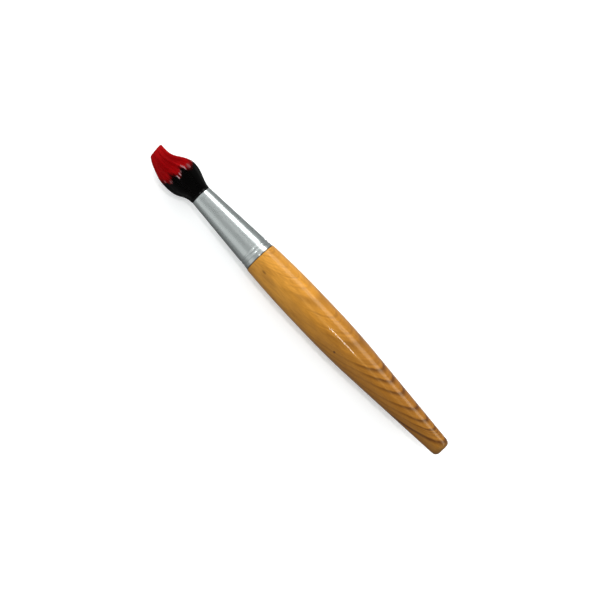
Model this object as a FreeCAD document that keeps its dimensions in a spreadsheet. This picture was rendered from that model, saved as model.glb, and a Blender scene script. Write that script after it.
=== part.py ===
"""Chunky round paint brush: turned wooden handle, crimped metal ferrule, round hair tuft.

Millimetres. The brush lies along X with its hair towards +X, Z up, and the origin is under the
middle of its bounding box. Stations are measured along the axis from the flat butt of the handle.
"""

import FreeCAD, Part
import math
import os
import Sketcher

# Driving dimensions, kept in the document's sheet. Radii are from the brush's axis.
SIZES = [
    ("overall_length", 180.0),
    # handle: rounded butt, straight cone, swell up to a cylindrical grip, swell down to a shoulder
    ("butt_radius", 4.16),
    ("butt_rounding", 2.4),
    ("cone_end", 50.0),
    ("cone_end_radius", 7.79),
    ("grip_start", 75.0),
    ("grip_end", 85.5),
    ("grip_radius", 8.7),
    ("shoulder", 114.3),
    ("shoulder_radius", 7.74),
    ("shoulder_rounding", 0.3),
    ("tenon_end", 137.0),
    ("tenon_chamfer", 0.8),
    # ferrule: straight taper from the shoulder to the mouth, two crimps rolled into the tenon
    ("ferrule_radius", 7.52),
    ("mouth_radius", 4.93),
    ("wall", 0.4),
    ("rim_rounding", 0.15),
    ("first_crimp", 116.8),
    ("crimp_pitch", 1.7),
    ("crimp_width", 1.1),
    ("bead_width", 1.4),
    ("crimp_depth", 0.25),
    # glue round the tenon, with the bead squeezed out past its end
    ("glue_start", 121.0),
    ("glue_film", 0.15),
    ("glue_bead", 0.6),
    # resin plug behind the hair, with a socket for the tied root
    ("resin_start", 138.4),
    ("resin_end", 143.2),
    # fixed hair root: stub in the resin, waist under the thread, full width up to the mouth
    ("root_start", 140.2),
    ("root_stub_radius", 3.9),
    ("waist_start", 143.7),
    ("waist_end", 147.3),
    ("waist_radius", 4.0),
    ("root_full", 148.5),
    ("root_end_inset", 2.0),
    ("seat_radius", 4.45),
    # thread wound round the waist
    ("thread_radius", 0.25),
    ("thread_gap", 0.02),
    ("thread_pitch", 0.56),
    ("thread_turns", 5.0),
    # free hair: black up to the paint line, red from there on
    ("hair_length", 28.6),
    ("paint_line", 14.6),
    ("ball_radius", 4.2),
]

# Elliptical sections of the free hair: distance from the mouth, sideways lean of the centre,
# half width sideways, half depth upward.
TUFT_SECTIONS = [
    (4.1, 0.0, 5.68, 5.68),
    (7.0, 0.33, 6.8, 6.7),
    (10.5, 0.42, 7.88, 7.6),
    (14.0, 0.66, 7.98, 7.6),
    (17.5, 1.32, 6.98, 6.5),
    (21.0, 1.8, 5.35, 4.7),
    (25.0, 1.45, 4.0, 2.8),
    (28.6, 0.55, 3.0, 1.4),
]
SECTION_NAMES = ("along", "lean", "half_width", "half_depth")

# Expressions that several sub-parts share.
BUTT_X = "-Sizes.overall_length / 2"
AXIS_Z = "Sizes.grip_radius"
MOUTH = "(Sizes.overall_length - Sizes.hair_length)"
TAPER = f"((Sizes.ferrule_radius - Sizes.mouth_radius) / ({MOUTH} - Sizes.shoulder))"
SECOND_CRIMP = "(Sizes.first_crimp + Sizes.crimp_pitch)"

ORIGIN_POINT = (-1, 1)
LONG_AXIS = -1
CROSS_AXIS = -2

doc = FreeCAD.newDocument("paint_brush")
sheet = doc.addObject("Spreadsheet::Sheet", "Sizes")


def fill_sheet():
    """One row per driving dimension, named in column A, with its value in column B."""
    rows = list(SIZES)
    for index, section in enumerate(TUFT_SECTIONS, 1):
        for name, size in zip(SECTION_NAMES, section):
            rows.append((f"section{index}_{name}", size))
    for row, (name, size) in enumerate(rows, 1):
        sheet.set(f"A{row}", name)
        sheet.set(f"B{row}", str(size))
        sheet.setAlias(f"B{row}", name)
    doc.recompute()


def outside(station):
    """Radius of the ferrule's outer face at a station."""
    return f"(Sizes.ferrule_radius - {TAPER} * ({station} - Sizes.shoulder))"


def bore(station):
    """Radius of the ferrule's bore at a station."""
    return f"({outside(station)} - Sizes.wall)"


def glued(station):
    """Radius of the tenon where glue covers it."""
    return f"({bore(station)} - Sizes.glue_film)"


def arc_radius(width, depth):
    """Radius of an arc from its chord's width and its height."""
    return f"(({width})^2 / 4 + ({depth})^2) / (2 * ({depth}))"


def level_arc_radius(run, rise):
    """Radius of an arc that is parallel to the axis at one end and rises or falls by rise."""
    return f"(({run})^2 + ({rise})^2) / (2 * ({rise}))"


def arc_between(start, end, radius, bow):
    """Circular arc from start to end, bowed outward (bow 1) or towards the axis (bow -1)."""
    chord = end - start
    height = math.sqrt(radius**2 - (chord.Length / 2) ** 2)
    normal = FreeCAD.Vector(-chord.y, chord.x, 0).normalize()
    if normal.y < 0 or (normal.y == 0 and normal.x < 0):
        normal = -normal
    centre = (start + end) / 2 - normal * height * bow
    angles = [math.atan2((p - centre).y, (p - centre).x) for p in (start, end)]
    forward = (start - centre).cross(end - centre).z > 0
    if not forward:
        angles.reverse()
    if angles[1] < angles[0]:
        angles[1] += 2 * math.pi
    circle = Part.Circle(centre, FreeCAD.Vector(0, 0, 1), radius)
    return Part.ArcOfCircle(circle, *angles), (1, 2) if forward else (2, 1)


def new_body(label):
    """A sub-part whose own origin is the middle of the butt face."""
    body = doc.addObject("PartDesign::Body", label)
    body.Label = label
    body.setExpression("Placement.Base.x", BUTT_X)
    body.setExpression("Placement.Base.z", AXIS_Z)
    return body


def new_sketch(body, name):
    """An empty sketch in the body's XY plane."""
    sketch = body.newObject("Sketcher::SketchObject", f"{body.Name}_{name}")
    plane = [item for item in body.Origin.OriginFeatures if item.Role == "XY_Plane"][0]
    sketch.AttachmentSupport = [(plane, "")]
    sketch.MapMode = "FlatFace"
    return sketch


def drive(sketch, constraint, name, expression):
    """Adds a named constraint whose value follows an expression."""
    index = sketch.addConstraint(constraint)
    sketch.renameConstraint(index, name)
    sketch.setExpression(f"Constraints.{name}", expression)


def outline(body, corners, arcs=None):
    """Closed half section. Corners are (station, radius) expressions; arcs maps the number of the
    corner that an arc starts from to its (radius expression, bow)."""
    arcs = arcs or {}
    sketch = new_sketch(body, "outline")
    points = [FreeCAD.Vector(*map(body.evalExpression, corner), 0) for corner in corners]
    ends = []
    for side, start in enumerate(points):
        finish = points[(side + 1) % len(points)]
        if side in arcs:
            radius, bow = arcs[side]
            curve, order = arc_between(start, finish, body.evalExpression(radius), bow)
        else:
            curve, order = Part.LineSegment(start, finish), (1, 2)
        edge = sketch.addGeometry(curve, False)
        ends.append([(edge, order[0]), (edge, order[1])])
    for side, (first, last) in enumerate(ends):
        following = ends[(side + 1) % len(ends)][0]
        sketch.addConstraint(Sketcher.Constraint("Coincident", *last, *following))
    for side, (station, radius) in enumerate(corners):
        corner = ends[side][0]
        place(sketch, corner, "DistanceX", station, CROSS_AXIS, f"station{side}")
        place(sketch, corner, "DistanceY", radius, LONG_AXIS, f"radius{side}")
    for side, (radius, bow) in arcs.items():
        edge = ends[side][0][0]
        size = sketch.Geometry[edge].Radius
        drive(sketch, Sketcher.Constraint("Radius", edge, size), f"arc{side}", radius)
    return sketch


def place(sketch, corner, direction, expression, axis, name):
    """Holds one coordinate of a corner, on the axis itself where the expression is zero."""
    if expression == "0":
        sketch.addConstraint(Sketcher.Constraint("PointOnObject", *corner, axis))
        return
    size = sketch.evalExpression(expression)
    drive(sketch, Sketcher.Constraint(direction, *ORIGIN_POINT, *corner, size), name, expression)


def turn(body, sketch):
    """Solid of revolution about the brush's axis."""
    turned = body.newObject("PartDesign::Revolution", f"{body.Name}_turned")
    turned.Profile = sketch
    turned.ReferenceAxis = (sketch, ["H_Axis"])
    turned.Angle = 360
    doc.recompute()
    return turned


def round_edge(body, base, station, radius, rounding):
    """Rounds the circular edge of base that has this station and radius."""
    x, r = body.evalExpression(station), body.evalExpression(radius)
    for index, edge in enumerate(base.Shape.Edges, 1):
        curve = edge.Curve
        if curve.TypeId != "Part::GeomCircle":
            continue
        if abs(curve.Radius - r) < 1e-4 and abs(curve.Center.x - x) < 1e-4:
            fillet = body.newObject("PartDesign::Fillet", f"{body.Name}_round{index}")
            fillet.Base = (base, [f"Edge{index}"])
            fillet.setExpression("Radius", rounding)
            doc.recompute()
            return fillet
    raise RuntimeError(f"{body.Label} has no edge of radius {r:.3f} at station {x:.3f}")


def crimp_corners(radius_at, width):
    """The four corners of the two crimps along a tapered line."""
    corners = []
    for centre in ("Sizes.first_crimp", SECOND_CRIMP):
        for side in ("-", "+"):
            station = f"({centre} {side} {width} / 2)"
            corners.append((station, radius_at(station)))
    return corners


def handle():
    """Turned wooden handle with its tenon, which carries the crimps' dents."""
    body = new_body("handle")
    rise = "(Sizes.grip_radius - Sizes.cone_end_radius)"
    fall = "(Sizes.grip_radius - Sizes.shoulder_radius)"
    swell = level_arc_radius("Sizes.grip_start - Sizes.cone_end", rise)
    drop = level_arc_radius("Sizes.shoulder - Sizes.grip_end", fall)
    dent = (arc_radius("Sizes.bead_width", "Sizes.crimp_depth"), -1)
    tenon_tip = "(Sizes.tenon_end - Sizes.tenon_chamfer)"
    corners = [
        ("0", "0"),
        ("0", "Sizes.butt_radius"),
        ("Sizes.cone_end", "Sizes.cone_end_radius"),
        ("Sizes.grip_start", "Sizes.grip_radius"),
        ("Sizes.grip_end", "Sizes.grip_radius"),
        ("Sizes.shoulder", "Sizes.shoulder_radius"),
        ("Sizes.shoulder", bore("Sizes.shoulder")),
        *crimp_corners(bore, "Sizes.bead_width"),
        ("Sizes.glue_start", bore("Sizes.glue_start")),
        ("Sizes.glue_start", glued("Sizes.glue_start")),
        (tenon_tip, glued(tenon_tip)),
        ("Sizes.tenon_end", f"({glued(tenon_tip)} - Sizes.tenon_chamfer)"),
        ("Sizes.tenon_end", "0"),
    ]
    arcs = {2: (swell, 1), 4: (drop, 1), 7: dent, 9: dent}
    solid = turn(body, outline(body, corners, arcs))
    solid = round_edge(body, solid, "0", "Sizes.butt_radius", "Sizes.butt_rounding")
    round_edge(body, solid, "Sizes.shoulder", "Sizes.shoulder_radius", "Sizes.shoulder_rounding")
    return body


def ferrule():
    """Tapered metal tube with two crimps rolled through its wall."""
    body = new_body("ferrule")
    groove = (arc_radius("Sizes.crimp_width", "Sizes.crimp_depth"), -1)
    bead = (arc_radius("Sizes.bead_width", "Sizes.crimp_depth"), -1)
    corners = [
        ("Sizes.shoulder", "Sizes.ferrule_radius"),
        *crimp_corners(outside, "Sizes.crimp_width"),
        (MOUTH, "Sizes.mouth_radius"),
        (MOUTH, bore(MOUTH)),
        *reversed(crimp_corners(bore, "Sizes.bead_width")),
        ("Sizes.shoulder", bore("Sizes.shoulder")),
    ]
    arcs = {1: groove, 3: groove, 7: bead, 9: bead}
    solid = turn(body, outline(body, corners, arcs))
    solid = round_edge(body, solid, MOUTH, "Sizes.mouth_radius", "Sizes.rim_rounding")
    round_edge(body, solid, "Sizes.shoulder", "Sizes.ferrule_radius", "Sizes.rim_rounding")
    return body


def handle_cement():
    """Film of glue round the tenon, with a bead over the tenon's chamfer."""
    body = new_body("handle_cement")
    tenon_tip = "(Sizes.tenon_end - Sizes.tenon_chamfer)"
    bead_end = "(Sizes.tenon_end + Sizes.glue_bead)"
    corners = [
        ("Sizes.glue_start", glued("Sizes.glue_start")),
        ("Sizes.glue_start", bore("Sizes.glue_start")),
        (bead_end, bore(bead_end)),
        ("Sizes.tenon_end", f"({glued(tenon_tip)} - Sizes.tenon_chamfer)"),
        (tenon_tip, glued(tenon_tip)),
    ]
    turn(body, outline(body, corners))
    return body


def root_resin():
    """Cured resin plug across the bore, with a socket that grips the hair's stub."""
    body = new_body("root_resin")
    corners = [
        ("Sizes.resin_start", "0"),
        ("Sizes.resin_start", bore("Sizes.resin_start")),
        ("Sizes.resin_end", bore("Sizes.resin_end")),
        ("Sizes.resin_end", "Sizes.root_stub_radius"),
        ("Sizes.root_start", "Sizes.root_stub_radius"),
        ("Sizes.root_start", "0"),
    ]
    turn(body, outline(body, corners))
    return body


def hair_root():
    """Hair held in the ferrule: stub, tied waist, then full width with a round seat in its end."""
    body = new_body("hair_root")
    rim = f"({MOUTH} - Sizes.root_end_inset)"
    seat_edge = "sqrt(Sizes.seat_radius^2 - Sizes.root_end_inset^2)"
    corners = [
        ("Sizes.root_start", "0"),
        ("Sizes.root_start", "Sizes.root_stub_radius"),
        ("Sizes.resin_end", "Sizes.root_stub_radius"),
        ("Sizes.waist_start", "Sizes.waist_radius"),
        ("Sizes.waist_end", "Sizes.waist_radius"),
        ("Sizes.root_full", bore("Sizes.root_full")),
        (rim, bore(rim)),
        (rim, seat_edge),
        (f"({MOUTH} - Sizes.seat_radius)", "0"),
    ]
    arcs = {7: ("Sizes.seat_radius", 1)}
    turn(body, outline(body, corners, arcs))
    return body


def root_binding():
    """Thread wound round the waist of the hair."""
    body = new_body("root_binding")
    sketch = new_sketch(body, "thread")
    station = "(Sizes.waist_start + Sizes.thread_radius + Sizes.thread_gap)"
    reach = "(Sizes.waist_radius + Sizes.thread_radius + Sizes.thread_gap)"
    centre = FreeCAD.Vector(body.evalExpression(station), body.evalExpression(reach), 0)
    radius = body.evalExpression("Sizes.thread_radius")
    edge = sketch.addGeometry(Part.Circle(centre, FreeCAD.Vector(0, 0, 1), radius), False)
    drive(sketch, Sketcher.Constraint("Radius", edge, radius), "thread", "Sizes.thread_radius")
    place(sketch, (edge, 3), "DistanceX", station, CROSS_AXIS, "station")
    place(sketch, (edge, 3), "DistanceY", reach, LONG_AXIS, "reach")
    doc.recompute()
    winding = body.newObject("PartDesign::AdditiveHelix", "root_binding_winding")
    winding.Profile = sketch
    winding.ReferenceAxis = (sketch, ["H_Axis"])
    winding.Mode = "pitch-turns-angle"
    winding.setExpression("Pitch", "Sizes.thread_pitch")
    winding.setExpression("Turns", "Sizes.thread_turns")
    return body


def tuft_section(index):
    """One elliptical section of the free hair, square to the axis."""
    ellipse = doc.addObject("Part::Ellipse", f"tuft_section{index}")
    across = FreeCAD.Rotation(FreeCAD.Vector(1, 1, 1), 120)
    ellipse.Placement = FreeCAD.Placement(FreeCAD.Vector(), across)
    along = f"{BUTT_X} + {MOUTH} + Sizes.section{index}_along"
    ellipse.setExpression("MajorRadius", f"Sizes.section{index}_half_width")
    ellipse.setExpression("MinorRadius", f"Sizes.section{index}_half_depth")
    ellipse.setExpression("Placement.Base.x", along)
    ellipse.setExpression("Placement.Base.y", f"Sizes.section{index}_lean")
    ellipse.setExpression("Placement.Base.z", AXIS_Z)
    return ellipse


def tuft_form():
    """The whole free hair beyond the neck, as one smooth solid."""
    form = doc.addObject("Part::Loft", "tuft_form")
    form.Sections = [tuft_section(index) for index in range(1, len(TUFT_SECTIONS) + 1)]
    form.Solid = True
    form.Ruled = False
    return form


def band(name, start, end):
    """A disc-shaped cutter between two distances from the mouth, wider than the hair."""
    cutter = doc.addObject("Part::Cylinder", name)
    upright = FreeCAD.Rotation(FreeCAD.Vector(0, 1, 0), 90)
    cutter.Placement = FreeCAD.Placement(FreeCAD.Vector(), upright)
    cutter.setExpression("Radius", "2 * Sizes.grip_radius")
    cutter.setExpression("Height", f"{end} - {start}")
    cutter.setExpression("Placement.Base.x", f"{BUTT_X} + {MOUTH} + {start}")
    cutter.setExpression("Placement.Base.z", AXIS_Z)
    return cutter


def tuft_neck():
    """Ball inside the ferrule's mouth and the cone from its centre that meets the first section.

    The ball turns in the mouth, and the cone's slope keeps the hair clear of the rim as it bends.
    """
    ball = doc.addObject("Part::Sphere", "neck_ball")
    ball.setExpression("Radius", "Sizes.ball_radius")
    cone = doc.addObject("Part::Cone", "neck_cone")
    cone.Radius1 = 0
    cone.setExpression("Radius2", "Sizes.section1_half_width")
    cone.setExpression("Height", "Sizes.section1_along")
    upright = FreeCAD.Rotation(FreeCAD.Vector(0, 1, 0), 90)
    for piece in (ball, cone):
        piece.Placement = FreeCAD.Placement(FreeCAD.Vector(), upright)
        piece.setExpression("Placement.Base.x", f"{BUTT_X} + {MOUTH}")
        piece.setExpression("Placement.Base.z", AXIS_Z)
    return [ball, cone]


def tuft_hair(form):
    """Free hair from the ferrule's mouth to the paint line."""
    belly = doc.addObject("Part::Common", "tuft_belly")
    belly.Base = form
    belly.Tool = band("belly_band", "0", "Sizes.paint_line")
    hair = doc.addObject("Part::MultiFuse", "tuft_hair")
    hair.Label = "tuft_hair"
    hair.Shapes = [belly, *tuft_neck()]
    return hair


def painted_tip(form):
    """Free hair beyond the paint line, stuck together by paint."""
    tip = doc.addObject("Part::Common", "painted_tip")
    tip.Label = "painted_tip"
    tip.Base = form
    tip.Tool = band("tip_band", "Sizes.paint_line", "Sizes.hair_length + 1")
    return tip


def export(parts):
    """Checks every object of the document, then writes one file per sub-part."""
    for item in doc.Objects:
        if {"Invalid", "Error"} & set(item.State):
            raise RuntimeError(f"{item.Label} failed: {item.State}")
    os.makedirs("parts", exist_ok=True)
    for part in parts:
        if part.Shape.isNull() or not part.Shape.isValid() or len(part.Shape.Solids) != 1:
            raise RuntimeError(f"{part.Label} is not one valid solid")
        part.Shape.exportStep(f"parts/{part.Label}.step")
        box = part.Shape.BoundBox
        print(
            f"{part.Label}: {part.Shape.Volume:.1f} mm3, x {box.XMin:.2f} to {box.XMax:.2f}, "
            f"y {box.YMin:.2f} to {box.YMax:.2f}, z {box.ZMin:.2f} to {box.ZMax:.2f}"
        )


fill_sheet()
free_hair = tuft_form()
sub_parts = [
    handle(),
    ferrule(),
    handle_cement(),
    root_resin(),
    hair_root(),
    root_binding(),
    tuft_hair(free_hair),
    painted_tip(free_hair),
]
doc.recompute()
export(sub_parts)
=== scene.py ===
"""Looks of the chunky round paint brush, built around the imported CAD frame. Metres throughout."""
import math

import bpy
import numpy as np
from mathutils import Matrix, Vector


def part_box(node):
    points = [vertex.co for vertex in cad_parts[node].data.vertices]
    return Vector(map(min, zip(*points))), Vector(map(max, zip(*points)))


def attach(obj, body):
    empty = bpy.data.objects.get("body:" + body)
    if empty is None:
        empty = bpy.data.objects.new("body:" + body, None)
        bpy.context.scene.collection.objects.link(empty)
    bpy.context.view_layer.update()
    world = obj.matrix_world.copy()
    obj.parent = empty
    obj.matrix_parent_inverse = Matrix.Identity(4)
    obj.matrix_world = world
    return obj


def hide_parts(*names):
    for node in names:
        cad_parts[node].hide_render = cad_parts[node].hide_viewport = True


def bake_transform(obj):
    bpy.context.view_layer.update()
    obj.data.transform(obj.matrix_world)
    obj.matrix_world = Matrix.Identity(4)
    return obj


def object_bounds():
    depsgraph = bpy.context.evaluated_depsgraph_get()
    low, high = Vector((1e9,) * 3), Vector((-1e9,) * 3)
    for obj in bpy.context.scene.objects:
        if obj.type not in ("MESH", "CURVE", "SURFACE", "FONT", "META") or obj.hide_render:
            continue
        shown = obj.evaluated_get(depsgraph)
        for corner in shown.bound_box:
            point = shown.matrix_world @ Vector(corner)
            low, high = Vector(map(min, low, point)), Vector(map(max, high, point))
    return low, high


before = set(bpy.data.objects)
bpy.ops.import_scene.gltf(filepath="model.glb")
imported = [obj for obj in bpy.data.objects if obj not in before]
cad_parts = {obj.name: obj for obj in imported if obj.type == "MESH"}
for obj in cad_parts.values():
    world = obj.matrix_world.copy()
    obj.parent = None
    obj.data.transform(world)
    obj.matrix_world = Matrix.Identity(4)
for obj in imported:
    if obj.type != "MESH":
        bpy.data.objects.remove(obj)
cad_low, cad_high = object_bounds()

MM = 0.001
ferrule_low, ferrule_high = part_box("ferrule")
handle_low, handle_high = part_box("handle")

# Places read from the CAD frame. The brush's axis is along X at this height.
BUTT = handle_low.x
SHOULDER = ferrule_low.x
MOUTH = ferrule_high.x
TIP = cad_high.x
AXIS_Z = (ferrule_low.z + ferrule_high.z) / 2
GRIP_RADIUS = (handle_high.z - handle_low.z) / 2
FERRULE_RADIUS = (ferrule_high.z - ferrule_low.z) / 2
TENON_END = handle_high.x

# Turned profile of the handle and the ferrule, as in the CAD model.
BUTT_RADIUS = 4.16 * MM
BUTT_ROUNDING = 2.4 * MM
CONE_END = BUTT + 50.0 * MM
CONE_END_RADIUS = 7.79 * MM
GRIP_START = BUTT + 75.0 * MM
GRIP_END = BUTT + 85.5 * MM
SHOULDER_RADIUS = 7.74 * MM
SHOULDER_ROUNDING = 0.3 * MM
TENON_CHAMFER = 0.8 * MM
MOUTH_RADIUS = 4.93 * MM
WALL = 0.4 * MM
RIM_ROUNDING = 0.15 * MM
CRIMPS = [SHOULDER + 2.5 * MM, SHOULDER + 4.2 * MM]
CRIMP_WIDTH = 1.1 * MM
BEAD_WIDTH = 1.4 * MM
CRIMP_DEPTH = 0.25 * MM
GLUE_START = SHOULDER + 6.7 * MM
GLUE_FILM = 0.15 * MM
LATHE_COLUMNS = 160


# ---------------------------------------------------------------- camera, lights and floor

FIELD = 259.0 * MM                   # what the picture's side spans at the brush
LENS = 150.0
SENSOR = 36.0
AIM_SHIFT = -0.9 * MM                # the camera looks at a point this far along from the brush's middle
AIM_SIDE = 0.12 * MM                 # and this far to +Y of its axis
CAMERA_TILT = math.radians(3.0)      # the butt end is nearer to the camera
CAMERA_ROLL = math.radians(133.57)   # the tip points to the picture's upper left


def make_camera():
    """Camera nearly straight above the brush, turned so that the brush lies across the picture."""
    data = bpy.data.cameras.new("camera")
    data.lens = LENS
    data.sensor_width = SENSOR
    camera = bpy.data.objects.new("camera", data)
    bpy.context.scene.collection.objects.link(camera)
    target = Vector(((BUTT + TIP) / 2 + AIM_SHIFT, AIM_SIDE, AXIS_Z))
    back = Vector((-math.sin(CAMERA_TILT), 0, math.cos(CAMERA_TILT)))
    along = Vector((math.cos(CAMERA_TILT), 0, math.sin(CAMERA_TILT)))
    across = back.cross(along)
    turned = Matrix((along, across, back)).transposed().to_4x4()
    turned = turned @ Matrix.Rotation(-CAMERA_ROLL, 4, "Z")
    distance = FIELD * LENS / SENSOR
    camera.matrix_world = Matrix.Translation(target + back * distance) @ turned
    data.clip_start = 0.01
    data.clip_end = 50
    bpy.context.scene.camera = camera


def area_light(name, direction, distance, size, radiance):
    """Rectangular light aimed at the brush's centre, with the given radiance."""
    data = bpy.data.lights.new(name, "AREA")
    data.shape = "RECTANGLE"
    data.size, data.size_y = size
    data.energy = radiance * math.pi * size[0] * size[1]
    light = bpy.data.objects.new(name, data)
    bpy.context.scene.collection.objects.link(light)
    outward = Vector(direction).normalized()
    place = Vector((0, 0, AXIS_Z)) + outward * distance
    side = outward.cross(Vector((1, 0, 0))).normalized()
    along = side.cross(outward)
    aim = Matrix((along, side, outward)).transposed().to_4x4()
    light.matrix_world = Matrix.Translation(place) @ aim
    light.visible_camera = False
    return light


STUDIO_TINT = (0.97, 1.0, 1.0)
# Radiance of the studio round the brush, by how far a direction points up: 0 is level and below,
# 1 is straight up.
SURROUNDINGS = ((0.0, 0.44), (0.28, 0.7), (0.86, 0.68), (0.97, 0.5), (1.0, 0.4))
# The share of it that is left on the shade side, by half plus the direction's part along TO_LIT_SIDE.
SHADE_SIDE = ((0.02, 0.4), (0.16, 1.0))
TO_LIT_SIDE = (0, -0.25, 0.43)
FLOOR_SIZE = 6.0
FLOOR_TONE = 0.97
FLOOR_GLOW = 0.13
# Lights: how far over from straight up, distance from the brush, size along and across, and radiance.
STRIP_OVER = 1.12
STRIP = (0.9, (2.4, 0.4), 5.4)
CARD_OVER = 1.05
CARD = (0.9, (2.4, 0.7), 0.35)
LAMP_DIRECTION = (-0.0714, -0.2, 1)
LAMP = (0.8, (0.1, 0.06), 65)
FILL_HEIGHT = 0.9
FILL = (1.5, (1.2, 1.2), 0.95)


def set_stops(ramp, stops):
    """Gives a colour ramp its (position, colour or grey level) stops."""
    while len(ramp.elements) < len(stops):
        ramp.elements.new(0.5)
    for element, (position, colour) in zip(ramp.elements, stops):
        element.position = position
        element.color = (*colour, 1) if isinstance(colour, tuple) else (colour, colour, colour, 1)


def make_stage():
    """Pale floor under the brush, grey surroundings and soft lights."""
    bpy.ops.mesh.primitive_plane_add(size=FLOOR_SIZE, location=(0, 0, 0))
    floor = bpy.context.object
    floor.name = "floor"
    material = bpy.data.materials.new("floor_paper")
    material.use_nodes = True
    shader = material.node_tree.nodes["Principled BSDF"]
    shader.inputs["Base Color"].default_value = (FLOOR_TONE, FLOOR_TONE, FLOOR_TONE, 1)
    shader.inputs["Roughness"].default_value = 0.9
    shader.inputs["Specular IOR Level"].default_value = 0.1
    shader.inputs["Emission Color"].default_value = (1, 1, 1, 1)
    shader.inputs["Emission Strength"].default_value = FLOOR_GLOW
    floor.data.materials.append(material)
    # Light from below comes from the studio, so the brush's edges are as dark as over a dark table.
    floor.visible_glossy = False
    floor.visible_diffuse = False
    world = bpy.data.worlds.new("studio")
    world.use_nodes = True
    tree = world.node_tree
    place = tree.nodes.new("ShaderNodeTexCoord").outputs["Generated"]
    parts = tree.nodes.new("ShaderNodeSeparateXYZ")
    lit_side = tree.nodes.new("ShaderNodeVectorMath")
    lit_side.operation = "DOT_PRODUCT"
    lit_side.inputs[1].default_value = TO_LIT_SIDE
    half = tree.nodes.new("ShaderNodeMath")
    half.inputs[1].default_value = 0.5
    up, side = (tree.nodes.new("ShaderNodeValToRGB") for _ in range(2))
    set_stops(up.color_ramp, [(h, tuple(light * c for c in STUDIO_TINT)) for h, light in SURROUNDINGS])
    set_stops(side.color_ramp, SHADE_SIDE)
    both = tree.nodes.new("ShaderNodeVectorMath")
    both.operation = "MULTIPLY"
    tree.links.new(place, parts.inputs[0])
    tree.links.new(place, lit_side.inputs[0])
    tree.links.new(lit_side.outputs["Value"], half.inputs[0])
    tree.links.new(parts.outputs[2], up.inputs[0])
    tree.links.new(half.outputs[0], side.inputs[0])
    tree.links.new(up.outputs[0], both.inputs[0])
    tree.links.new(side.outputs[0], both.inputs[1])
    tree.links.new(both.outputs[0], tree.nodes["Background"].inputs["Color"])
    bpy.context.scene.world = world
    bpy.context.scene.view_settings.view_transform = "Standard"
    area_light("strip_softbox", (0, -math.sin(STRIP_OVER), math.cos(STRIP_OVER)), *STRIP)
    area_light("small_lamp", LAMP_DIRECTION, *LAMP)
    area_light("tip_fill", (1, 0, FILL_HEIGHT), *FILL)
    area_light("butt_fill", (-1, 0, FILL_HEIGHT), *FILL)
    # A dim card that only gloss shows, so the far side of the metal isn't flat.
    card = area_light("gloss_card", (0, math.sin(CARD_OVER), math.cos(CARD_OVER)), *CARD)
    card.visible_diffuse = False


# ---------------------------------------------------------------- turned shapes

def arc(start, end, radius, bow, steps):
    """Points of a circular arc from start to end in the (x, radius) half plane, start left out.

    Bow 1 arches away from the axis and -1 towards it."""
    start, end = np.array(start), np.array(end)
    chord = end - start
    length = np.linalg.norm(chord)
    normal = np.array([-chord[1], chord[0]]) / length
    if normal[1] < 0:
        normal = -normal
    centre = (start + end) / 2 - normal * bow * math.sqrt(radius**2 - length**2 / 4)
    first = math.atan2(*(start - centre)[::-1])
    last = math.atan2(*(end - centre)[::-1])
    turn = (last - first + math.pi) % (2 * math.pi) - math.pi
    angles = first + turn * np.arange(1, steps + 1) / steps
    return [tuple(centre + radius * np.array([math.cos(a), math.sin(a)])) for a in angles]


def straight(start, end, steps):
    """Points of a straight stretch from start to end, start left out."""
    return [tuple(np.array(start) + (np.array(end) - start) * k / steps) for k in range(1, steps + 1)]


def rounded_corner(before, corner, after, radius, steps):
    """Points that replace a convex corner of an outline with an arc."""
    a, c, b = (np.array(p) for p in (before, corner, after))
    to_a = (a - c) / np.linalg.norm(a - c)
    to_b = (b - c) / np.linalg.norm(b - c)
    half = math.acos(float(to_a @ to_b)) / 2
    reach = radius / math.tan(half)
    centre = c + (to_a + to_b) / np.linalg.norm(to_a + to_b) * radius / math.sin(half)
    first = c + to_a * reach - centre
    last = c + to_b * reach - centre
    return [
        tuple(centre + (first * math.sin((1 - t) * w) + last * math.sin(t * w)) / math.sin(w))
        for w in [math.pi - 2 * half]
        for t in np.linspace(0, 1, steps + 1)
    ]


def level_arc_radius(run, rise):
    return (run**2 + rise**2) / (2 * rise)


def ferrule_radius(x, inset=0.0):
    """Radius of the ferrule's taper at x, less an inset."""
    share = (x - SHOULDER) / (MOUTH - SHOULDER)
    return FERRULE_RADIUS + (MOUTH_RADIUS - FERRULE_RADIUS) * share - inset


def crimped_line(outline, end, inset, width, steps):
    """Runs an outline along the taper to end, through any crimp on the way."""
    forward = end > outline[-1][0]
    for centre in CRIMPS if forward else CRIMPS[::-1]:
        near, far = (centre - width / 2, centre + width / 2)[:: 1 if forward else -1]
        inside = min(outline[-1][0], end) < centre < max(outline[-1][0], end)
        if not inside:
            continue
        near, far = ((x, ferrule_radius(x, inset)) for x in (near, far))
        outline += straight(outline[-1], near, 2)
        radius = (width**2 / 4 + CRIMP_DEPTH**2) / (2 * CRIMP_DEPTH)
        outline += arc(near, far, radius, -1, steps)
    outline += straight(outline[-1], (end, ferrule_radius(end, inset)), 24)


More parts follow.
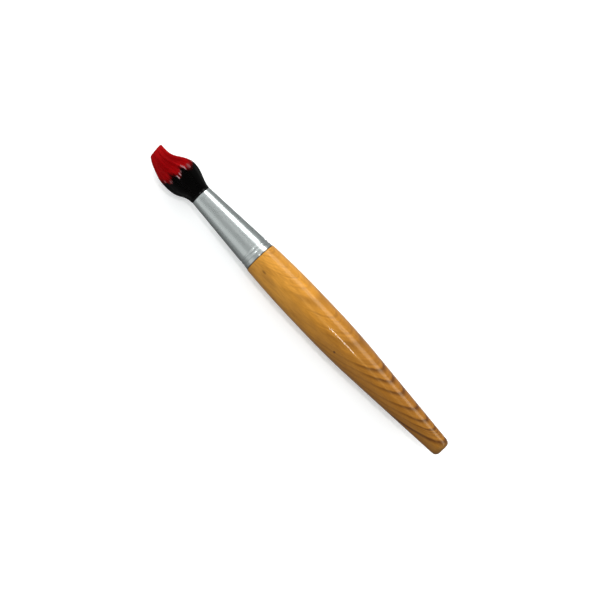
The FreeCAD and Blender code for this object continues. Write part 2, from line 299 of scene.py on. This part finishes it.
def handle_outline():
    """Half section of the handle from the middle of the butt to the middle of the tenon's end."""
    butt_corner = (BUTT, BUTT_RADIUS)
    cone_end = (CONE_END, CONE_END_RADIUS)
    shoulder = (SHOULDER, SHOULDER_RADIUS)
    swell = level_arc_radius(GRIP_START - CONE_END, GRIP_RADIUS - CONE_END_RADIUS)
    drop = level_arc_radius(SHOULDER - GRIP_END, GRIP_RADIUS - SHOULDER_RADIUS)
    outline = [(BUTT, 0.0), (BUTT, 0.9 * MM)]
    outline += rounded_corner((BUTT, 0), butt_corner, cone_end, BUTT_ROUNDING, 10)
    outline += straight(outline[-1], cone_end, 40)
    outline += arc(cone_end, (GRIP_START, GRIP_RADIUS), swell, 1, 30)
    outline += straight(outline[-1], (GRIP_END, GRIP_RADIUS), 8)
    front = arc((GRIP_END, GRIP_RADIUS), shoulder, drop, 1, 36)
    outline += front[:-1]
    inner = (SHOULDER, ferrule_radius(SHOULDER, WALL))
    outline += rounded_corner(front[-2], shoulder, inner, SHOULDER_ROUNDING, 5)
    outline += [inner]
    crimped_line(outline, GLUE_START, WALL, BEAD_WIDTH, 8)
    tip = TENON_END - TENON_CHAMFER
    film = WALL + GLUE_FILM
    outline += [(GLUE_START, ferrule_radius(GLUE_START, film))]
    outline += straight(outline[-1], (tip, ferrule_radius(tip, film)), 12)
    outline += [(TENON_END, ferrule_radius(tip, film + TENON_CHAMFER)), (TENON_END, 0.0)]
    return outline


def ferrule_outline():
    """Closed section of the ferrule's wall."""
    base_outer, base_inner = (SHOULDER, FERRULE_RADIUS), (SHOULDER, FERRULE_RADIUS - WALL)
    rim_outer, rim_inner = (MOUTH, MOUTH_RADIUS), (MOUTH, MOUTH_RADIUS - WALL)
    outline = rounded_corner(base_inner, base_outer, rim_outer, RIM_ROUNDING, 4)
    crimped_line(outline, MOUTH - RIM_ROUNDING, 0.0, CRIMP_WIDTH, 12)
    outline += rounded_corner(outline[-1], rim_outer, rim_inner, RIM_ROUNDING, 4)[1:]
    outline += rounded_corner(rim_outer, rim_inner, base_inner, RIM_ROUNDING, 3)[1:]
    crimped_line(outline, SHOULDER, WALL, BEAD_WIDTH, 8)
    return outline


def lathe(name, outline, columns, closed):
    """Mesh turned from an outline of (x, radius) points; closed joins its last point to its first."""
    outline = np.array(outline)
    angles = 2 * np.pi * np.arange(columns) / columns
    points, rings = [], []
    for x, radius in outline:
        if radius < 1e-9:
            rings.append([len(points)])
            points.append((x, 0, AXIS_Z))
            continue
        rings.append(list(range(len(points), len(points) + columns)))
        points += [(x, radius * math.sin(a), AXIS_Z + radius * math.cos(a)) for a in angles]
    faces = []
    pairs = list(zip(rings, rings[1:] + rings[:1]))
    for low, high in pairs if closed else pairs[:-1]:
        for k in range(columns):
            n = (k + 1) % columns
            if len(low) == 1:
                faces.append((low[0], high[k], high[n]))
            elif len(high) == 1:
                faces.append((low[k], high[0], low[n]))
            else:
                faces.append((low[k], high[k], high[n], low[n]))
    return new_mesh(name, points, faces)


def new_mesh(name, points, faces):
    """Smooth-shaded object with sharp edges where faces turn by more than a third of a right angle."""
    mesh = bpy.data.meshes.new(name)
    mesh.from_pydata([tuple(map(float, p)) for p in points], [], faces)
    mesh.validate()
    mesh.shade_smooth()
    mesh.set_sharp_from_angle(angle=math.radians(32))
    piece = bpy.data.objects.new(name, mesh)
    bpy.context.scene.collection.objects.link(piece)
    return piece


# ---------------------------------------------------------------- hair shapes

# Outline of the free hair in millimetres: distance from the mouth, reach to -Y, reach to +Y, half depth.
TUFT = np.array([
    (-2.6, 4.3, 4.3, 4.3),
    (-0.5, 4.42, 4.42, 4.42),
    (0.2, 4.78, 4.78, 4.78),
    (1.8, 4.97, 4.97, 4.97),
    (3.6, 5.4, 5.4, 5.35),
    (5.6, 6.1, 6.45, 6.2),
    (8.1, 6.95, 7.7, 7.1),
    (11.0, 7.5, 8.35, 7.65),
    (13.6, 7.45, 8.5, 7.65),
    (15.8, 6.6, 8.45, 7.1),
    (17.8, 5.5, 8.15, 6.2),
    (20.0, 4.0, 7.5, 5.1),
    (22.3, 2.85, 6.65, 3.95),
    (25.0, 2.5, 5.65, 2.75),
    (28.6, 2.65, 3.4, 1.45),
])
HAIR_START = -2.6
TEETH = 46
TIP_REACH = 28.6
TIP_SLANT = 0.7
CORE_UNDER_PAINT = 3.0      # how far the black core goes on beneath the paint
BLACK_HAIRS = 2300
RED_HAIRS = 1500
BODY_COLUMNS = 640
HIGHLIGHT_STEPS = 9
# Where the paint begins round the tuft: angle from +Z towards +Y in degrees, distance from the mouth.
PAINT_EDGE = np.array([
    (-180, 13.4), (-160, 14.4), (-140, 12.6), (-120, 14.0), (-105, 13.4), (-90, 14.0), (-64, 13.3),
    (-47, 11.9), (-31, 11.9), (-17, 14.2), (-6, 12.8), (6, 12.0), (17, 14.5), (27, 14.0), (38, 12.6),
    (52, 14.2), (64, 15.3), (92, 16.0), (112, 14.2), (128, 15.2), (146, 13.0), (163, 14.2), (180, 13.4),
])
# Painted highlights: pale hairs that stand in for glints of light on the wet paint near its edge: angle,
# spread in degrees, start and end, how pale, hairs.
PAINTED_HIGHLIGHTS = (
    (-42, 5.5, 11.2, 14.2, 0.22, 20), (-26, 1.3, 11.9, 15.4, 0.75, 11), (-9, 1.2, 12.2, 13.8, 0.35, 5),
    (-2, 1.1, 11.2, 13.2, 0.7, 8), (8, 0.9, 10.6, 13.2, 0.9, 7), (38, 6.0, 11.5, 13.8, 0.2, 20),
    (55, 3.0, 13.8, 15.6, 0.3, 9), (86, 4.0, 14.0, 16.6, 0.3, 10), (118, 3.0, 13.0, 15.6, 0.6, 10),
    (150, 4.0, 11.8, 14.2, 0.4, 14), (-166, 2.0, 13.0, 15.4, 0.8, 10), (-142, 4.0, 11.4, 13.8, 0.35, 14),
    (-112, 2.0, 12.4, 15.0, 0.7, 10), (-78, 3.0, 12.6, 14.8, 0.35, 10),
)
SURFACE_LIMIT = 8.6         # no point of the surface goes further than this from the axis's plane


def smooth(x, xs, ys):
    """Smooth curve through the points (xs, ys), read at x."""
    slopes = np.gradient(ys, xs)
    k = np.clip(np.searchsorted(xs, x) - 1, 0, len(xs) - 2)
    run = xs[k + 1] - xs[k]
    t = np.clip((x - xs[k]) / run, 0, 1)
    near = ys[k] * (1 + 2 * t) * (1 - t) ** 2 + slopes[k] * run * t * (1 - t) ** 2
    far = ys[k + 1] * t**2 * (3 - 2 * t) + slopes[k + 1] * run * t**2 * (t - 1)
    return near + far


def ease(x, start, end):
    """0 before start, 1 after end, smooth between."""
    t = np.clip((x - start) / (end - start), 0, 1)
    return t * t * (3 - 2 * t)


def round_values(rng, count):
    """Random values on a circle of count lumps, as a function of the angle in radians."""
    heights = rng.uniform(-1, 1, count)

    def read(angle):
        place = (angle / (2 * np.pi) % 1) * count
        low = np.floor(place).astype(int) % count
        share = place - np.floor(place)
        share = share * share * (3 - 2 * share)
        return heights[low] * (1 - share) + heights[(low + 1) % count] * share

    return read


class Tuft:
    """The hair's outer surface, its grain and the edge of its paint, all in millimetres."""

    def __init__(self, seed):
        rng = np.random.default_rng(seed)
        self.locks = round_values(rng, 38)
        self.hairs = round_values(rng, 300)
        self.swing = round_values(rng, 9)
        even = np.linspace(-178, 182, TEETH + 1)[:-1]
        self.tooth_starts = even + rng.uniform(-1.8, 1.8, TEETH)
        self.tooth_reach = rng.uniform(0.4, 1.7, TEETH)
        self.tooth_lean = rng.uniform(0.3, 0.7, TEETH)

    def grain(self, along, angle):
        """Height of the locks and hairs over the plain surface."""
        turned = angle + 0.05 * self.swing(angle) * np.sin(along / 6.0 + 2 * self.swing(angle))
        opened = 0.2 + 0.8 * ease(along, 1.5, 6.0)
        return opened * (0.13 * self.locks(turned) + 0.045 * self.hairs(turned))

    def edge(self, angle):
        """Where the paint begins at this angle, with its pointed teeth."""
        degrees = (np.degrees(angle) + 180) % 360 - 180
        base = smooth(degrees, PAINT_EDGE[:, 0], PAINT_EDGE[:, 1])
        k = (np.searchsorted(self.tooth_starts, degrees) - 1) % TEETH
        start = self.tooth_starts[k]
        width = (self.tooth_starts[(k + 1) % TEETH] - start) % 360
        share = ((degrees - start) % 360) / width
        lean = self.tooth_lean[k]
        rise = np.where(share < lean, share / lean, (1 - share) / (1 - lean))
        return base + self.tooth_reach[k] * (np.clip(rise, 0, 1) ** 1.4 - 0.4)

    def point(self, along, angle, proud=0.0):
        """Point of the surface, raised by proud, in metres."""
        low = smooth(along, TUFT[:, 0], TUFT[:, 1])
        high = smooth(along, TUFT[:, 0], TUFT[:, 2])
        deep = smooth(along, TUFT[:, 0], TUFT[:, 3])
        centre = (high - low) / 2
        y = centre + ((high + low) / 2 + proud) * np.sin(angle)
        z = (deep + proud) * np.cos(angle)
        y = np.clip(y, -SURFACE_LIMIT, SURFACE_LIMIT)
        return np.stack([MOUTH + along * MM, y * MM, AXIS_Z + z * MM], axis=-1)

    def end(self, angle):
        """Where the tip ends at this angle: its edge is a little shorter on the +Y side."""
        return TIP_REACH - 0.25 - TIP_SLANT * (1 + np.sin(angle)) / 2


def grid_faces(rows, columns):
    """Faces of a tube of rows rings, each of columns points."""
    k = np.arange(columns)
    n = (k + 1) % columns
    faces = []
    for row in range(rows - 1):
        low, high = row * columns, (row + 1) * columns
        faces += np.stack([low + k, high + k, high + n, low + n], axis=1).tolist()
    return faces


def add_values(piece, **values):
    """Stores one number per vertex for each name, for the material to read."""
    for name, numbers in values.items():
        layer = piece.data.attributes.new(name, "FLOAT", "POINT")
        layer.data.foreach_set("value", np.asarray(numbers, np.float32).ravel())


def hair_body(name, tuft, start, end, lift, columns, rows, grain=1.0):
    """Closed, grained body of hair between start and end, each a function of the angle."""
    angles = 2 * np.pi * np.arange(columns) / columns
    share = np.linspace(0, 1, rows)[:, None]
    begin, finish = start(angles), end(angles)
    along = begin + (finish - begin) * share
    angle = np.broadcast_to(angles, along.shape)
    proud = lift(share) + grain * tuft.grain(along, angle)
    points = tuft.point(along, angle, proud)
    low, high = points[0].mean(axis=0), points[-1].mean(axis=0)
    points = np.concatenate([points.reshape(-1, 3), [low, high]])
    faces = grid_faces(rows, columns)
    first, last = rows * columns, rows * columns + 1
    top = (rows - 1) * columns
    for k in range(columns):
        n = (k + 1) % columns
        faces.append((first, k, n))
        faces.append((last, top + n, top + k))
    piece = new_mesh(name, points, faces)
    along = np.append(along.ravel(), [begin.mean(), finish.mean()])
    angle = np.append(angle.ravel(), [0, 0])
    add_values(piece, along=along, edge=tuft.edge(angle), tone=tuft.hairs(angle * 0.5))
    return piece


def strands(name, tuft, rng, angle, start, end, thickness, proud, steps=12):
    """Separate tapered hairs laid along the tuft's surface, one at each angle."""
    count = len(angle)
    begin, finish = start(angle), end(angle)
    share = np.linspace(0, 1, steps)
    along = begin[:, None] + (finish - begin)[:, None] * share
    drift = rng.normal(0, 0.035, (count, 1)) * share + rng.normal(0, 0.012, (count, 1)) * np.sin(
        share * 7 + rng.uniform(0, 6, (count, 1)))
    turned = angle[:, None] + drift
    height = rng.uniform(*proud, (count, 1)) + tuft.grain(along, turned)
    middle = tuft.point(along, turned, height)
    outward = tuft.point(along, turned, height + 1) - middle
    outward /= np.linalg.norm(outward, axis=-1, keepdims=True)
    ahead = np.gradient(middle, axis=1)
    ahead /= np.linalg.norm(ahead, axis=-1, keepdims=True)
    across = np.cross(ahead, outward)
    taper = (0.35 + 0.65 * np.sin(np.pi * np.clip(share * 0.75 + 0.2, 0, 1))) * (share < 0.999)
    size = rng.uniform(*thickness, (count, 1)) * taper * MM
    rings = []
    for corner in range(3):
        turn = 2 * np.pi * corner / 3
        rings.append(middle + (outward * math.cos(turn) + across * math.sin(turn)) * size[..., None])
    points = np.stack(rings, axis=2).reshape(-1, 3)
    faces = []
    k = np.arange(3)
    n = (k + 1) % 3
    for strand in range(count):
        for step in range(steps - 1):
            low = (strand * steps + step) * 3
            faces += np.stack([low + k, low + n, low + 3 + n, low + 3 + k], axis=1).tolist()
        low, high = strand * steps * 3, (strand * steps + steps - 1) * 3
        faces += [(low, low + 2, low + 1), (high, high + 1, high + 2)]
    piece = new_mesh(name, points, faces)
    add_values(
        piece,
        along=np.repeat(along, 3),
        edge=np.repeat(np.repeat(tuft.edge(angle), steps), 3),
        tone=np.repeat(np.repeat(rng.uniform(-1, 1, count), steps), 3),
    )
    return piece


def make_hair():
    """Black hair with its red paint load, as six pieces."""
    tuft = Tuft(11)
    rng = np.random.default_rng(5)

    def root(angle):
        return np.full_like(angle, HAIR_START)

    def under_paint(angle):
        return tuft.edge(angle) + CORE_UNDER_PAINT

    def paint_start(angle):
        return tuft.edge(angle)

    def neck_start(angle):
        return np.full_like(angle, -0.6)

    def neck_end(angle):
        return 3.0 + 0.8 * tuft.hairs(angle)

    def paint_lift(share):
        """Raised just past its edge, tucked in at both ends."""
        raised = 0.06 * ease(share, 0, 0.03)
        return raised - 0.12 * (share < 1e-6) - 0.3 * ease(share, 0.97, 1.0)

    def anywhere(count):
        return rng.uniform(-np.pi, np.pi, count)

    core = hair_body("hair_core", tuft, root, under_paint, lambda share: -0.05, BODY_COLUMNS, 96)
    black = strands("hair_strands", tuft, rng, anywhere(BLACK_HAIRS),
                    lambda angle: rng.uniform(0.0, 3.2, len(angle)),
                    lambda angle: tuft.edge(angle) + rng.uniform(-0.6, 1.6, len(angle)),
                    (0.05, 0.11), (-0.04, 0.05))
    neck = hair_body("hair_neck", tuft, neck_start, neck_end, lambda share: -0.2 * ease(share, 0.4, 1),
                     BODY_COLUMNS, 24, grain=0.5)
    paint = hair_body("paint_load", tuft, paint_start, tuft.end, paint_lift, BODY_COLUMNS, 90, grain=0.8)
    red = strands("paint_strands", tuft, rng, anywhere(RED_HAIRS),
                  lambda angle: tuft.edge(angle) - rng.uniform(-0.5, 1.2, len(angle)),
                  lambda angle: tuft.end(angle) - rng.uniform(0, 5, len(angle)) ** 1.2,
                  (0.05, 0.1), (0.0, 0.06))
    # Painted highlights: a few pale hairs near the paint's edge stand in for glints of light on the wet hair
    # and paint.
    streaks = np.array([streak[:5] for streak in PAINTED_HIGHLIGHTS for _ in range(streak[5])])
    spread = rng.normal(0, 0.5, len(streaks)) * streaks[:, 1]
    highlight_hairs = strands("painted_highlight_hairs", tuft, rng, np.radians(streaks[:, 0] + spread),
                  lambda angle: streaks[:, 2] + rng.uniform(0, 0.8, len(angle)),
                  lambda angle: streaks[:, 3] - rng.uniform(0, 0.9, len(angle)),
                  (0.06, 0.1), (0.05, 0.11), steps=HIGHLIGHT_STEPS)
    add_values(highlight_hairs, pale=np.repeat(streaks[:, 4], 3 * HIGHLIGHT_STEPS))
    for piece, name in ((core, "black_hair"), (black, "black_hair"), (neck, "black_hair"),
                        (paint, "red_paint"), (red, "red_paint"), (highlight_hairs, "red_paint")):
        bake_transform(piece)
    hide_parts("tuft_hair")
    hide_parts("painted_tip")
    return core, black, neck, paint, red, highlight_hairs


# ---------------------------------------------------------------- materials

class Graph:
    """Short calls that build one material's nodes."""

    def __init__(self, name):
        self.material = bpy.data.materials.new(name)
        self.material.use_nodes = True
        self.tree = self.material.node_tree
        self.shader = self.tree.nodes["Principled BSDF"]

    def node(self, kind, inputs, **settings):
        made = self.tree.nodes.new("ShaderNode" + kind)
        for key, value in settings.items():
            setattr(made, key, value)
        for key, value in inputs.items():
            self.put(made.inputs[key], value)
        return made

    def put(self, socket, value):
        if isinstance(value, bpy.types.NodeSocket):
            self.tree.links.new(value, socket)
        else:
            socket.default_value = value

    def math(self, operation, a, b=0.0, c=0.0, clamp=False):
        return self.node("Math", {0: a, 1: b, 2: c}, operation=operation, use_clamp=clamp).outputs[0]

    def span(self, value, low, high):
        """0 at low, 1 at high, smooth between."""
        made = self.node("MapRange", {"Value": value, "From Min": low, "From Max": high},
                         interpolation_type="SMOOTHSTEP")
        return made.outputs["Result"]

    def join(self, x, y, z):
        return self.node("CombineXYZ", {0: x, 1: y, 2: z}).outputs[0]

    def noise(self, vector, detail=2.0, roughness=0.5):
        inputs = {"Vector": vector, "Scale": 1.0, "Detail": detail, "Roughness": roughness}
        return self.node("TexNoise", inputs).outputs["Fac"]

    def streaks(self, place, along, across, detail, roughness=0.5):
        """Noise with one scale along the brush and another across it."""
        scaled = [self.math("MULTIPLY", part, scale) for part, scale in zip(place, (along, across, across))]
        return self.noise(self.join(*scaled), detail, roughness)

    def ramp(self, value, stops):
        made = self.node("ValToRGB", {"Fac": value})
        set_stops(made.color_ramp, stops)
        return made.outputs["Color"]

    def mix(self, share, a, b):
        made = self.node("Mix", {}, data_type="RGBA")
        for key, value in (("Factor", share), ("A", a), ("B", b)):
            socket = [s for s in made.inputs if s.name == key and s.enabled][0]
            self.put(socket, (*value, 1) if isinstance(value, tuple) else value)
        return [s for s in made.outputs if s.enabled][0]

    def value(self, name):
        """A number stored on the mesh."""
        return self.node("Attribute", {}, attribute_name=name).outputs["Fac"]

    def place(self):
        """Millimetres from the butt along the brush, then from its axis to +Y and up."""
        made = self.node("TexCoord", {})
        parts = self.node("SeparateXYZ", {0: made.outputs["Object"]}).outputs
        x = self.math("MULTIPLY_ADD", parts[0], 1000, -BUTT * 1000)
        y = self.math("MULTIPLY", parts[1], 1000)
        z = self.math("MULTIPLY_ADD", parts[2], 1000, -AXIS_Z * 1000)
        return x, y, z

    def bump(self, height, depth, sockets=("Normal",)):
        """Relief of the given depth in metres where height goes from 0 to 1."""
        made = self.node("Bump", {"Height": height, "Distance": depth, "Strength": 1.0})
        for socket in sockets:
            self.put(self.shader.inputs[socket], made.outputs["Normal"])

    def finish(self, **sockets):
        """Sets the shader's own sockets by name, with _ for a space."""
        for key, value in sockets.items():
            self.put(self.shader.inputs[key.replace("_", " ")], value)
        return self.material


def srgb(r, g, b):
    """Linear colour from a 0 to 255 display colour."""
    return tuple(((v / 255 + 0.055) / 1.055) ** 2.4 if v > 10 else v / 255 / 12.92 for v in (r, g, b))


# The wood's growth sheets lean along the brush: each dark ring is a plane where
# height across the growth plus GROWTH_SLOPE times the distance from the butt is constant.
GROWTH_TURN = math.radians(45)     # the growth runs from +Z towards -Y
GROWTH_SLOPE = 0.3
# Rings in millimetres: where each ends, how wide its dark part is and how dark it is.
NEAR_RINGS = (
    (-6.8, 1.2, 0.5), (-4.4, 1.1, 0.4), (-2.2, 1.2, 0.5), (0.2, 0.9, 0.35), (2.3, 0.9, 0.3),
    (5.3, 1.8, 1.0), (6.5, 0.55, 0.5), (7.05, 0.5, 0.65), (7.75, 0.8, 1.0), (9.8, 1.15, 1.0),
)
FAR_RINGS = (
    (12.25, 1.25, 1.0), (13.6, 0.7, 0.25), (15.6, 1.4, 0.95), (18.05, 1.35, 0.95), (20.45, 1.5, 0.9),
    (22.3, 1.4, 0.3), (26.3, 3.4, 0.5), (29.6, 1.8, 0.15), (34.3, 3.6, 0.36), (40.5, 2.6, 0.15),
)
RING_EDGE = 0.2
NEAR_RANGE = (-10.0, 11.0)         # heights across the growth that each ring ramp covers
FAR_RANGE = (11.0, 50.0)
SEAM = (SHOULDER - BUTT) * 1000    # where the wood meets the ferrule, in millimetres from the butt


# The plain wood between the rings, by the share of WOOD_LENGTH (millimetres) from the butt.
WOOD_LENGTH = 120
WOOD_TONES = (
    (0.0, srgb(134, 88, 28)), (0.2, srgb(138, 88, 24)), (0.35, srgb(150, 97, 28)), (0.5, srgb(158, 105, 34)),
    (0.62, srgb(178, 120, 38)), (0.8, srgb(197, 137, 50)), (1.0, srgb(205, 144, 57)),
)


def ring_ramp(g, across, low, high, rings):
    """Darkness of the rings between two heights across the growth."""
    span = high - low
    stops = []
    for end, width, dark in rings:
        stops += [((end - width - low) / span, 0.0), ((end - 0.2 * width - low) / span, dark),
                  ((end + RING_EDGE - low) / span, 0.0)]
    share = g.math("MULTIPLY_ADD", across, 1 / span, -low / span)
    return g.ramp(share, stops)


def growth_rings(g, place):
    """Darkness of the wood's growth rings, 0 to 1."""
    x, y, z = place
    wave = g.streaks(place, 0.06, 0.2, 2.0)
    ripple = g.streaks(place, 0.5, 0.9, 2.0)
    across = g.math("MULTIPLY", y, -math.sin(GROWTH_TURN))
    across = g.math("MULTIPLY_ADD", z, math.cos(GROWTH_TURN), across)
    across = g.math("MULTIPLY_ADD", x, GROWTH_SLOPE, across)
    across = g.math("MULTIPLY_ADD", wave, 0.8, across)
    across = g.math("MULTIPLY_ADD", ripple, 0.35, across)
    across = g.math("SUBTRACT", across, 0.575)
    near = ring_ramp(g, across, *NEAR_RANGE, NEAR_RINGS)
    far = ring_ramp(g, across, *FAR_RANGE, FAR_RINGS)
    lines = g.noise(g.join(g.math("MULTIPLY", across, 1.9), g.math("MULTIPLY", x, 0.03), 0.0), 2.0, 0.6)
    lines = g.ramp(lines, [(0.44, 0.0), (0.66, 0.36)])
    late = g.math("MAXIMUM", g.math("MAXIMUM", near, far), lines)
    # The rings fade towards +Y, except the broad one that ends at 5.3.
    strong = g.math("MULTIPLY", g.span(across, 3.9, 4.2), g.span(across, 5.5, 5.3))
    shown = g.math("MAXIMUM", strong, g.math("MULTIPLY_ADD", g.span(y, 4.0, -1.5), 0.65, 0.35))
    return g.math("MULTIPLY", late, shown)


def varnished_wood():
    """Light brown wood whose growth rings show as pointed arches on the handle's cone."""
    g = Graph("varnished_wood")
    place = g.place()
    x = place[0]
    late = growth_rings(g, place)
    fibre = g.streaks(place, 0.22, 3.2, 3.0, 0.6)
    broad = g.streaks(place, 0.1, 0.3, 2.0)
    pores = g.streaks(place, 0.8, 5.0, 1.0)
    pores = g.span(pores, 0.66, 0.74)
    base = g.ramp(g.math("MULTIPLY", x, 1 / WOOD_LENGTH), WOOD_TONES)
    base = g.mix(g.ramp(broad, [(0.35, 0.0), (0.65, 0.4)]), base, srgb(140, 90, 26))
    dark = srgb(58, 20, 0)
    # Painted shade: the wood darkens just before it meets the ferrule, standing in for the shade in that
    # crease.
    seam_shade = g.span(x, SEAM - 0.3, SEAM - 0.05)
    wood = g.mix(late, base, dark)
    wood = g.mix(g.ramp(fibre, [(0.3, 0.35), (0.6, 0.0)]), wood, srgb(104, 60, 14))
    wood = g.mix(g.math("MULTIPLY", pores, 0.35), wood, srgb(80, 42, 8))
    wood = g.mix(g.math("MULTIPLY", seam_shade, 0.85), wood, srgb(40, 26, 8))
    wood = g.mix(g.math("MULTIPLY", g.span(x, 3.2, 0.6), 0.45), wood, srgb(84, 58, 18))
    mark_a = spot(g, place, 62.4, 0.56, 0.8, 0.5)
    mark_b = spot(g, place, 108.0, 0.35, 1.5, 0.5)
    wood = g.mix(g.math("MAXIMUM", mark_a, g.math("MULTIPLY", mark_b, 0.6)), wood, srgb(52, 24, 6))
    peel = g.streaks(place, 0.25, 0.5, 2.0)
    relief = g.math("MULTIPLY_ADD", fibre, 0.12, peel)
    g.bump(relief, 0.000005, ("Normal", "Coat Normal"))
    return g.finish(Base_Color=wood, Roughness=0.3, Specular_IOR_Level=0.32, Specular_Tint=(1, 0.66, 0.24, 1),
                    Coat_Weight=0.22, Coat_Roughness=0.06, Coat_IOR=1.45)


def spot(g, place, at, side, long, wide):
    """1 at a small mark on the upper side, at from the butt and side radii towards +Y, falling to 0."""
    x, y, z = place
    down = g.math("MULTIPLY", g.math("SUBTRACT", x, at), 1 / long)
    over = g.math("MULTIPLY", g.math("SUBTRACT", y, side * GRIP_RADIUS * 1000), 1 / wide)
    far = g.math("ADD", g.math("MULTIPLY", down, down), g.math("MULTIPLY", over, over))
    near = g.math("SUBTRACT", 1.0, far, clamp=True)
    return g.math("MULTIPLY", near, g.span(z, 0.0, 0.5))


def satin_aluminium():
    """Drawn aluminium with fine lines along it and faint dulling."""
    g = Graph("satin_aluminium")
    place = g.place()
    lines = g.streaks(place, 0.12, 9.0, 3.0, 0.6)
    cloud = g.streaks(place, 0.2, 0.4, 3.0)
    # Painted shade: the metal darkens just past where it meets the wood, standing in for the shade in that
    # crease.
    seam_shade = g.span(place[0], SEAM + 0.5, SEAM + 0.15)
    colour = g.mix(g.ramp(cloud, [(0.3, 0.0), (0.7, 0.35)]), srgb(180, 185, 184), srgb(170, 175, 174))
    colour = g.mix(g.math("MULTIPLY", seam_shade, 0.85), colour, srgb(50, 44, 32))
    rough = g.ramp(g.math("MULTIPLY_ADD", lines, 0.5, g.math("MULTIPLY", cloud, 0.5)),
                   [(0.3, 0.24), (0.7, 0.32)])
    g.bump(lines, 0.000004)
    return g.finish(Base_Color=colour, Roughness=rough, Metallic=1.0)


def black_hair(name, level, roughness):
    """Black synthetic hair, stained red at the paint's edge."""
    g = Graph(name)
    along, edge, tone = g.value("along"), g.value("edge"), g.value("tone")
    near = g.math("SUBTRACT", along, edge)
    near = g.math("MULTIPLY_ADD", tone, 0.7, near)
    stained = g.span(near, 0.0, 1.6)
    grain = g.noise(g.join(g.math("MULTIPLY", along, 0.6), g.math("MULTIPLY", tone, 9.0), 0.0), 3.0)
    shade = g.ramp(grain, [(0.3, 0.0), (0.75, 1.0)])
    colour = g.mix(shade, (0.0009, 0.0008, 0.0008), (0.004, 0.0036, 0.0034))
    colour = g.mix(g.math("MULTIPLY", stained, 0.6), colour, srgb(96, 2, 8))
    g.bump(grain, 0.00002)
    rough = g.ramp(grain, [(0.2, roughness), (0.8, roughness + 0.12)])
    return g.finish(Base_Color=colour, Roughness=rough, Specular_IOR_Level=level)


def red_paint():
    """Thick red paint, thin and dark at its ragged edge, with painted highlights: pale single hairs that
    stand in for glints of light.
    """
    g = Graph("red_paint")
    along, edge, tone = g.value("along"), g.value("edge"), g.value("tone")
    near = g.math("SUBTRACT", along, edge)
    grain = g.noise(g.join(g.math("MULTIPLY", along, 0.35), g.math("MULTIPLY", tone, 7.0), 0.0), 3.0)
    colour = g.mix(g.ramp(grain, [(0.3, 0.0), (0.7, 1.0)]), (0.22, 0.0002, 0.0012), (0.31, 0.0003, 0.0014))
    thin = g.math("MULTIPLY", g.span(near, 2.6, -0.2), g.span(tone, 0.6, -0.3))
    colour = g.mix(g.math("MULTIPLY", thin, 0.9), colour, (0.012, 0.0004, 0.0008))
    # Painted highlight: pale pink on the hairs that carry this value stands in for glints of light.
    colour = g.mix(g.value("pale"), colour, (0.55, 0.36, 0.38))
    g.bump(grain, 0.00003)
    return g.finish(Base_Color=colour, Roughness=g.ramp(grain, [(0.2, 0.4), (0.8, 0.55)]),
                    Specular_IOR_Level=0.04)


# Parts inside the ferrule: CAD node, material, its two tones, its noise's scale along X, Y and Z, roughness.
INNER_PARTS = (
    ("handle_cement", "cement", srgb(214, 200, 168), srgb(232, 222, 196), (0.8, 0.8, 0.8), 0.5),
    ("root_resin", "resin", srgb(168, 104, 30), srgb(196, 134, 52), (0.5, 0.5, 0.5), 0.25),
    ("hair_root", "root_hair", srgb(8, 7, 7), srgb(34, 31, 30), (0.3, 6.0, 6.0), 0.45),
    ("root_binding", "thread", srgb(196, 190, 176), srgb(222, 217, 204), (4.0, 1.5, 1.5), 0.8),
)


def inner_material(name, low, high, scale, roughness):
    """Two mixed tones with a little relief, for a part that is inside the ferrule."""
    g = Graph(name)
    x, y, z = g.place()
    spread = g.noise(g.join(*(g.math("MULTIPLY", part, factor) for part, factor in zip((x, y, z), scale))),
                     4.0, 0.6)
    colour = g.mix(g.ramp(spread, [(0.3, 0.0), (0.7, 1.0)]), low, high)
    g.bump(spread, 0.00005)
    return g.finish(Base_Color=colour, Roughness=roughness)


def paint_node(name, material):
    """Gives a CAD node that stays its finish."""
    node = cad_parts[name]
    node.data.materials.clear()
    node.data.materials.append(material)


# ---------------------------------------------------------------- assembly

def dress(piece, material, node, body):
    """Material, material slot, replaced CAD node and body of one new piece."""
    piece.data.materials.append(material)
    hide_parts(node)
    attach(piece, body)


make_camera()
make_stage()
wood_handle = lathe("wood_handle", handle_outline(), LATHE_COLUMNS, closed=False)
metal_ferrule = lathe("metal_ferrule", ferrule_outline(), LATHE_COLUMNS, closed=True)
dress(wood_handle, varnished_wood(), "handle", "brush")
dress(metal_ferrule, satin_aluminium(), "ferrule", "brush")
hair = black_hair("black_hair", 0.06, 0.3)
neck = black_hair("black_hair_glossy", 0.12, 0.1)
paint = red_paint()
for piece, material in zip(make_hair(), (hair, hair, neck, paint, paint, paint)):
    piece.data.materials.append(material)
for node, name, low, high, scale, roughness in INNER_PARTS:
    paint_node(node, inner_material(name, low, high, scale, roughness))
